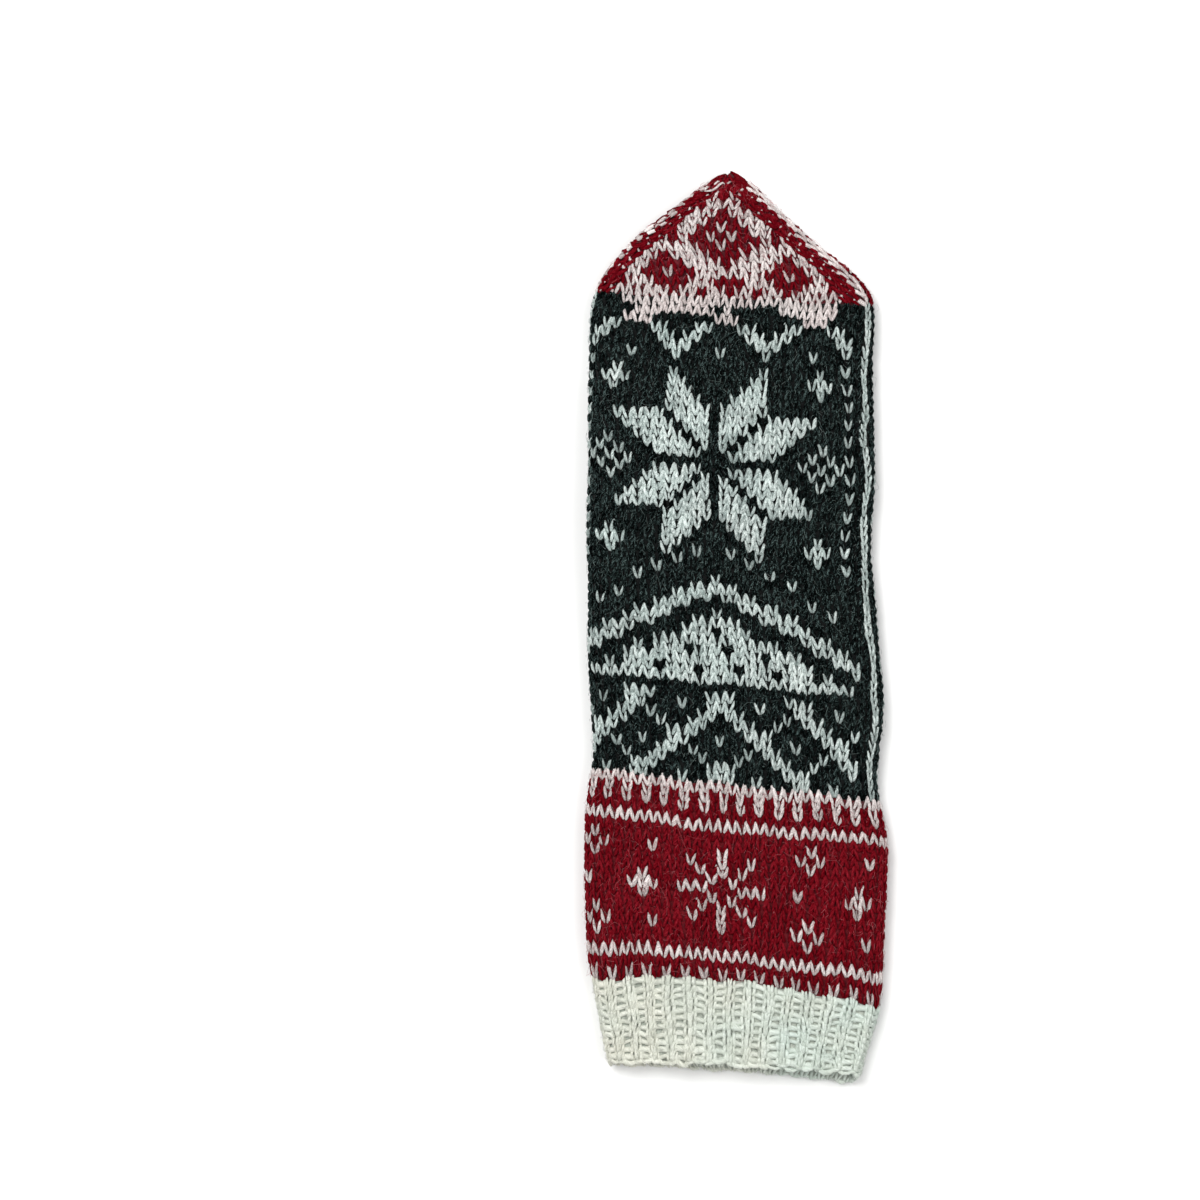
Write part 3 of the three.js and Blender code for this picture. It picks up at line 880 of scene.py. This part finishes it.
# Hand: 31 stitches of back, one of side, 31 of palm and one of side

handForm = {
    "rows": 54, "half": 16,  # half is the number of stitches from the middle of the back to a side
    "roll": 1.75, "tipRoll": 0.5, "rollFrom": 205, "rollOver": 55,  # how far the back is turned aside
    "drawnIn": 0.07,
    "blushRows": 3,
}
sideForm = {"drift": 1.5, "width": 0.88, "swell": 0.62}


def acrossOf(column, half, along, pitch):
    late = float(smooth((along - handForm["rollFrom"]) / handForm["rollOver"]))
    roll = mix(handForm["roll"], handForm["tipRoll"], late)
    onBack = pitch * (1 - handForm["drawnIn"] * late)
    onPalm = 2 * pitch - onBack
    if column <= half:
        return column * onBack - roll * pitch
    return half * onBack + (column - half) * onPalm - roll * pitch


backRows, palmRows = [], []
handHalf = handForm["half"]
handStep = (form["tipAt"] - form["handAt"]) / handForm["rows"]
for row in range(handForm["rows"]):
    along = form["handAt"] + row * handStep
    pitch = pitchAt(along, handStep, 4 * handHalf)
    for column in range(-handHalf, 3 * handHalf):
        isPalm = column > handHalf
        if abs(column) == handHalf:
            colour = white
        else:
            colour = palmColour(row, column - 2 * handHalf) if isPalm else backColour(row, column)
        stitch = stitchAt(acrossOf(column, handHalf, along, pitch), along + stitchSeat * handStep, pitch,
                          handStep, colour, row=row, column=column)
        if abs(column) == handHalf:  # the side line of white is worked loosely and wanders
            drift = float(wander(1.7 * along, 9.0 * column, 12))
            swell = float(wander(2.3 * along, 9.0 * column, 14))
            stitch["across"] += sideForm["drift"] * drift
            stitch["wide"] *= sideForm["width"] + sideForm["swell"] * swell
        (palmRows if isPalm else backRows).append(stitch)
blushFrom = handForm["rows"] - handForm["blushRows"]
isLast = [stitch["row"] >= blushFrom and abs(stitch["column"]) < handHalf for stitch in backRows]
lastRows = [stitch for stitch, last in zip(backRows, isLast) if last]
backRows = [stitch for stitch, last in zip(backRows, isLast) if not last]
knitPiece("back", "hand", backRows, "hand")
knitPiece("backTop", "hand", lastRows, "hand", whiteBall=blushYarn)  # its white has the same pink cast, red fluff and painted red bounce light
knitPiece("palm", "hand", palmRows, "hand", template=plainStrand)
fillWhite("backFluff", backRows, "hand", whiteYarn)
fillWhite("backTopFluff", lastRows, "hand", blushYarn)

# Fingertip: a stitch fewer at each side of back and palm in every row

tipForm = {
    "rows": 14, "firstPanel": 29, "sideWidth": 3.5, "sideWhiteRows": 13,
    "slip": 2.4, "show": 2.6,  # how far the left edge is rolled under, and how far it turns up
    "braidStitches": 2, "braidRows": 12, "braidWidth": 2.3,
    "braid": {"foot": 0.12, "spread": 0.40, "start": -0.20, "run": 1.15, "girth": 0.72, "flatness": 1.0,
              "crown": -0.35, "sunk": -1.3, "jitter": 0.10},
    "side": {"foot": 0.10, "spread": 0.38, "start": -0.25, "run": 1.25, "girth": 0.76, "flatness": 0.95,
             "crown": -0.38, "sunk": -1.3, "jitter": 0.24},
    "dots": {"reach": 0.16, "arch": 0.1, "girth": 0.36, "crown": -0.12, "sunk": -0.7, "turned": 0.9,
             "uneven": 0.10},
}
tipRows, braidRows, sideRows, dotRows = [], [], [], []
tipStep = (form["apexAt"] - form["tipAt"]) / (tipForm["rows"] + 0.6)


def tipAcross(place, half, row, along, pitch):
    # the left edge is rolled under near the hand and turns up near the apex
    fromEdge = abs(place + half if place <= half else place - 3 * half) / half
    rolled = tipForm["show"] * smooth((row - 4) / 4) - tipForm["slip"] * (1 - smooth((row - 1) / 5))
    return acrossOf(place, half, along, pitch) + float(rolled * clamp01(1 - fromEdge))


for row in range(tipForm["rows"]):
    along = form["tipAt"] + row * tipStep
    seat = along + stitchSeat * tipStep
    panel = tipForm["firstPanel"] - 2 * row
    half = (panel + 1) / 2
    pitch = pitchAt(along, tipStep, 4 * half)
    slant, slantLength = math.atan2(pitch, tipStep), math.hypot(pitch, tipStep)
    for isPalm in (False, True):
        for column in range(-(panel - 1) // 2, (panel - 1) // 2 + 1):
            place = column + (half * 2 if isPalm else 0)
            stitch = stitchAt(tipAcross(place, half, row, along, pitch), seat, pitch, tipStep,
                              tipColour(row, column, panel, isPalm), row=row, column=place)
            atEdge = abs(column) > (panel - 1) / 2 - tipForm["braidStitches"]
            if atEdge and row < tipForm["braidRows"]:
                stitch.update(turn=-np.sign(column) * slant, wide=tipForm["braidWidth"], tall=slantLength)
                braidRows.append(stitch)
            else:
                tipRows.append(stitch)
    for side in (-1, 1):
        sideRows.append(stitchAt(
            tipAcross(side * half, half, row, along, pitch), seat, tipForm["sideWidth"], slantLength,
            white if row < tipForm["sideWhiteRows"] else red, turn=-side * slant,
        ))
        for isPalm in (False, True):  # the white yarn carried behind peeps through the braid
            place = side * (half - 1.5) + (half * 2 if isPalm else 0)
            dotRows.append(stitchAt(
                tipAcross(place, half, row, along, pitch),
                along + (stitchSeat + rng.uniform(-0.2, 0.2)) * tipStep, pitch, tipStep, white, swell=1.0,
            ))
knitPiece("tip", "hand", tipRows, "fingertip", whiteBall=blushYarn)
fillWhite("tipFluff", tipRows, "fingertip", blushYarn)
knitPiece("tipBraid", "hand", braidRows, "fingertip", tipForm["braid"])
knitPiece("tipSide", "hand", sideRows, "fingertip", tipForm["side"], blushYarn)

# Thumb, folded under

thumbKnit = {"rows": 21, "rowHeight": 3.0, "stitchWidth": 3.16, "clear": 0.5}
thumbRows = []
for row in range(thumbKnit["rows"]):
    along = thumbForm["base"] + row * thumbKnit["rowHeight"]
    girth = float(girthAt(tubes["thumb"], along + thumbKnit["rowHeight"] / 2))
    total = max(6, 2 * round(girth / thumbKnit["stitchWidth"] / 2))
    pitch = girth / total
    for column in range(total):
        across = (column - total / 2) * pitch
        around = aroundOf(tubes["thumb"], np.array(across), np.array(along))
        height = float(surfaceAt(tubes["thumb"], around, np.array(along))[..., 2])
        if along >= thumbForm["base"] + min(height, thumbForm["height"]) + thumbKnit["clear"]:
            colour = palmColour(row, column)
            thumbRows.append(stitchAt(across, along, pitch, thumbKnit["rowHeight"], colour))
knitPiece("thumb", "thumb", thumbRows, "thumb", template=plainStrand)

# Ribbed cuff: knit columns stand up, purl columns lie back as ladders of short bars

ribForm = {
    "rows": 11, "stitches": 60, "roll": 0.7, "first": 1.3, "seat": 0.2,
    "innerRows": 6, "innerDrop": 1.1,
    "hollowAt": 1.2, "lobeAt": 2.0,
    "matted": 1.22, "mattedRows": 2,  # how much thicker the lowest bars are, where the hem is felted
    "knit": {"foot": 0.04, "spread": 0.13, "start": -0.4, "run": 1.70, "girth": 0.62, "flatness": 1.0,
             "crown": -0.50, "sunk": -1.3, "jitter": 0.22},
    "purl": {"foot": 0.48, "spread": 0.05, "start": -0.25, "run": 1.35, "girth": 0.68, "flatness": 1.0,
             "crown": -0.85, "sunk": -1.4, "jitter": 0.24},
    "bar": {"reach": 0.95, "arch": 0.34, "girth": 0.98, "crown": -1.15, "sunk": -1.6, "turned": 0.0,
            "uneven": 0.18},
    "lobe": {"reach": 0.95, "arch": -0.60, "girth": 0.92, "crown": -0.95, "sunk": -1.25, "turned": 0.05,
             "uneven": 0.30},
    "hollow": {"reach": 0.60, "arch": -0.10, "girth": 0.92, "crown": -1.0, "sunk": -1.3, "turned": 0.0,
               "uneven": 0.30},
    "inner": {"foot": 0.10, "spread": 0.34, "start": -0.35, "run": 1.65, "girth": 0.62, "flatness": 0.9,
              "crown": -2.15, "sunk": -1.5, "jitter": 0.14},
}
ribStep = (form["bandAt"] - ribForm["first"]) / ribForm["rows"]
ribColumns = range(-ribForm["stitches"] // 2, ribForm["stitches"] // 2)
knitRows, purlRows, lobeRows, hollowRows, innerRows = [], [], [], [], []
for row in range(ribForm["rows"]):
    along = ribForm["first"] + row * ribStep
    pitch = pitchAt(along, ribStep, ribForm["stitches"])
    swell = ribForm["matted"] if row < ribForm["mattedRows"] else 1.0
    for column in ribColumns:
        stitch = stitchAt((column - ribForm["roll"]) * pitch, along + ribForm["seat"] * ribStep, pitch,
                          ribStep, white, swell=swell)
        (knitRows if column % 2 == 0 else purlRows).append(stitch)
        if row < ribForm["innerRows"]:
            innerRows.append(dict(stitch, along=stitch["along"] - ribForm["innerDrop"]))
hemPitch = pitchAt(0.0, 0.0, ribForm["stitches"])
for column in ribColumns:
    isKnit = column % 2 == 0
    seat = ribForm["hollowAt"] if isKnit else ribForm["lobeAt"]
    stitch = stitchAt((column - ribForm["roll"]) * hemPitch, seat, hemPitch, ribStep, white, swell=1.0)
    (hollowRows if isKnit else lobeRows).append(stitch)
knitPiece("ribKnit", "hand", knitRows, "rib_cuff", ribForm["knit"], creamYarn)
knitPiece("ribPurl", "hand", purlRows, "rib_cuff", ribForm["purl"], creamYarn)
layBars("ribPurlBars", purlRows, ribForm["bar"])
layBars("castOnLobes", lobeRows, ribForm["lobe"])
layBars("castOnHollows", hollowRows, ribForm["hollow"])
knitPiece("ribInside", "hand", innerRows, "rib_cuff", ribForm["inner"], creamYarn, plainStrand)
layBars("tipBraidDots", dotRows, tipForm["dots"], "fingertip", blushYarn)
print("rib made")

# Loose hairs that stand off the wool

hairWool = {
    "dark": "#1c2524", "main": "#3f4c4a", "light": "#84928f", "stops": (0.40, 0.70, 1.0),
    "tintA": "#f2f8f6", "tintB": "#fafcfa", "drift": 0.0, "twist": 0.0, "fibreScale": 2.0,
    "fleckShare": 0.2, "toneShare": 0.5, "paintedEndShade": 1.0, "plyRelief": 0.0, "bump": 0.1,
    "sheen": 0.0, "sheenTint": "#ffffff", "gloss": 0.1,
}
greyHair = yarnMaterial("greyWoolHair", hairWool)  # undyed fibres that make the charcoal look heathered
pinkHair = yarnMaterial("pinkWoolHair", dict(  # pale fibres among the crimson
    hairWool, dark="#66101a", main="#87303a", light="#bd767c", stops=(0.40, 0.66, 1.0),
    tintA="#fff8f6", tintB="#fff4f2",
))
fuzzForm = {  # length and girth in mm; lift is how far a hair stands off, stray how far it turns
    "handShort": {"count": 3900, "from": 94.0, "to": 254.0, "length": 0.34, "lift": 0.22, "curl": 0.4,
                  "stray": 0.8, "girth": 0.042, "material": greyHair, "slot": "charcoal_wool"},
    "handLong": {"count": 260, "from": 94.0, "to": 254.0, "length": 1.2, "lift": 0.6, "curl": 1.0,
                 "stray": 3.0, "girth": 0.034, "material": greyHair, "slot": "charcoal_wool"},
    "bandShort": {"count": 1500, "from": 29.0, "to": 92.0, "length": 0.42, "lift": 0.3, "curl": 0.6,
                  "stray": 0.9, "girth": 0.040, "material": pinkHair, "slot": "red_wool"},
    "bandLong": {"count": 220, "from": 29.0, "to": 92.0, "length": 1.7, "lift": 0.7, "curl": 1.0,
                 "stray": 3.0, "girth": 0.034, "material": pinkHair, "slot": "red_wool"},
    "tipShort": {"count": 900, "from": 255.0, "to": 294.0, "length": 0.42, "lift": 0.3, "curl": 0.6,
                 "stray": 0.9, "girth": 0.040, "material": pinkHair, "slot": "red_wool"},
    "ribShort": {"count": 1100, "from": 1.0, "to": 28.0, "length": 0.6, "lift": 0.4, "curl": 0.8,
                 "stray": 3.0, "girth": 0.040, "material": creamYarn, "slot": "white_wool"},
}
palmShare = 0.2  # the palm lies on the table, so most hairs go to the back
faceShare = 0.26  # how far hairs spread to each side of a face's middle, as a share of the girth
hairForm = {"shortest": 0.5, "rooted": 0.35}  # mm: added to every length, and the deepest root
bloomForm = {  # the short down of each white stitch, which blurs its edge
    "each": 3, "length": 0.28, "lift": 0.15, "curl": 0.6, "stray": 0.75, "girth": 0.045,
    "above": 0.4,  # how far up its stitch it grows, as a share of the row
    "aside": 0.8, "along": 0.9,  # how far it scatters, in mm
}
tailForm = {  # the darned-in end that has worked loose at the apex, mm across and along
    "across": -4.2, "along": 293.4, "length": 6.5, "girth": 0.36, "rise": 0.25, "drop": 3.4, "wave": 0.45,
}
hair = hairTemplate()


def layHairs(name, settings, across, along, material):
    count = len(across)
    heading = math.pi / 2 + rng.normal(0, settings["stray"], (count, 1))
    length = rng.gamma(3.0, settings["length"], (count, 1)) + hairForm["shortest"]
    curl = rng.normal(0, settings["curl"], (count, 1))
    lift = np.abs(rng.normal(0, settings["lift"], (count, 1)))
    root = rng.uniform(-hairForm["rooted"], 0.0, (count, 1))

    def path(t):
        angle = heading + curl * t
        x = length * (t - 0.5) * np.cos(angle)
        y = length * (t - 0.5) * np.sin(angle)
        z = root + lift * np.sin(math.pi * (0.15 + 0.75 * t))
        return np.stack([x, y, z], -1)

    seats = {"across": across, "along": along}
    layStrands(name, hair, path, np.full((count, 1), settings["girth"]), 1.0, seats, material)


def scatterHairs(name, settings):
    count = settings["count"]
    along = rng.uniform(settings["from"], settings["to"], count)
    onPalm = rng.random(count) < palmShare
    share = rng.uniform(-faceShare, faceShare, count) + np.where(onPalm, 0.5, 0.0)
    across = share * girthAt(tubes["hand"], along)
    layHairs(name, settings, across, along, settings["material"])


def bloomWhite(name, rows, material):
    whites = layStitches([stitch for stitch in rows if stitch["colour"] == white])
    across = np.repeat(whites["across"], bloomForm["each"])
    along = np.repeat(whites["along"] + bloomForm["above"] * whites["tall"], bloomForm["each"])
    across = across + rng.normal(0, bloomForm["aside"], len(across))
    along = along + rng.normal(0, bloomForm["along"], len(along))
    layHairs(name, bloomForm, across, along, material)


def layTail(settings):
    def path(t):
        x = settings["length"] * (0.5 - t)
        y = settings["wave"] * np.sin(2.2 * math.pi * t) - settings["drop"] * t
        z = settings["rise"] + 0.35 * np.sin(3 * math.pi * t) - 1.6 * (t < 0.08)
        return np.stack([x, y, z], -1)

    seat = {"across": np.array([settings["across"]]), "along": np.array([settings["along"]])}
    girth = np.full((1, 1), settings["girth"])
    layStrands("looseEnd", strandTemplate(8, 17), path, girth, 1.0, seat, blushYarn, tones=np.array([0.4]))


layTail(tailForm)
for part, settings in fuzzForm.items():
    scatterHairs(part + "Hairs", settings)
bloomWhite("backDown", backRows, whiteYarn)
bloomWhite("backTopDown", lastRows, blushYarn)
bloomWhite("bandDown", bandRows, blushYarn)
bloomWhite("tipDown", tipRows, blushYarn)
print("hairs made")

# Apex: the last few stitches are drawn together on one strand, which bunches the yarn

gatherForm = {
    "count": 80, "from": 289.0, "to": 294.9, "length": 5.0, "lean": 0.9, "girth": 0.62, "sunk": -1.1,
}


def gatherApex(settings):
    count = settings["count"]
    along = rng.uniform(settings["from"], settings["to"], count)
    across = rng.uniform(-0.5, 0.5, count) * girthAt(tubes["hand"], along)
    lean = rng.normal(0, settings["lean"], (count, 1))

    def path(t):
        x = lean * (t - 0.5)
        y = settings["length"] * (t - 0.5)
        return np.stack([x, y + 0 * x, settings["sunk"] + 0.35 * np.sin(math.pi * t) + 0 * x], -1)

    seats = {"across": across, "along": along}
    girth = settings["girth"] * np.ones((count, 1))
    piece = layStrands("tipGather", plainStrand, path, girth, 1.0, seats, redYarn)
    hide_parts("fingertip")


gatherApex(gatherForm)
print("apex drawn together")

# Camera, floor and light

photoView = {
    "pixelsPerMm": 3.0, "frame": 1200, "middleX": 736.0, "middleY": 625.0,
    "height": 1.6, "sensor": 36.0,
}
frameWidth = photoView["frame"] / photoView["pixelsPerMm"] * mm
cameraData = bpy.data.cameras.new("aboveCamera")
cameraData.sensor_width = photoView["sensor"]
cameraData.lens = photoView["sensor"] * photoView["height"] / frameWidth
camera = bpy.data.objects.new("aboveCamera", cameraData)
frameMiddle = photoView["frame"] / 2
camera.location = (
    (frameMiddle - photoView["middleX"]) / photoView["pixelsPerMm"] * mm,
    (photoView["middleY"] - frameMiddle) / photoView["pixelsPerMm"] * mm,
    photoView["height"],
)
scene.collection.objects.link(camera)
scene.camera = camera

floorForm = {"size": 3.0, "below": 0.0004}  # metres: how far it reaches, and how far under the wool it lies
floorMesh = bpy.data.meshes.new("paleFloor")
floorBm = bmesh.new()
bmesh.ops.create_grid(floorBm, x_segments=1, y_segments=1, size=floorForm["size"])
bmesh.ops.translate(floorBm, verts=floorBm.verts, vec=(0, 0, -floorForm["below"]))
floorBm.to_mesh(floorMesh)
floorBm.free()
floor = bpy.data.objects.new("paleFloor", floorMesh)
scene.collection.objects.link(floor)
paper = bpy.data.materials.new("whitePaper")  # matt coated paper: no gloss, a little off white
paper.use_nodes = True
paperShader = paper.node_tree.nodes["Principled BSDF"]
paperShader.inputs["Base Color"].default_value = linearColour("#f2f2f1")
paperShader.inputs["Roughness"].default_value = 0.9
floorMesh.materials.append(paper)


def addSoftLight(name, place, size, power):
    data = bpy.data.lights.new(name, "AREA")
    data.energy = power
    data.size = size
    lamp = bpy.data.objects.new(name, data)
    lamp.location = place
    lamp.rotation_mode = "QUATERNION"
    lamp.rotation_quaternion = (-Vector(place)).to_track_quat("-Z", "Y")
    scene.collection.objects.link(lamp)


addSoftLight("keyLight", (-0.7, 0.8, 1.7), 1.1, 36.0)
addSoftLight("fillLight", (1.1, -0.3, 1.5), 1.4, 15.0)
world = bpy.data.worlds.new("studio")
world.use_nodes = True
world.node_tree.nodes["Background"].inputs["Color"].default_value = (1, 1, 1, 1)
world.node_tree.nodes["Background"].inputs["Strength"].default_value = 0.45
scene.world = world
scene.view_settings.view_transform = "Standard"
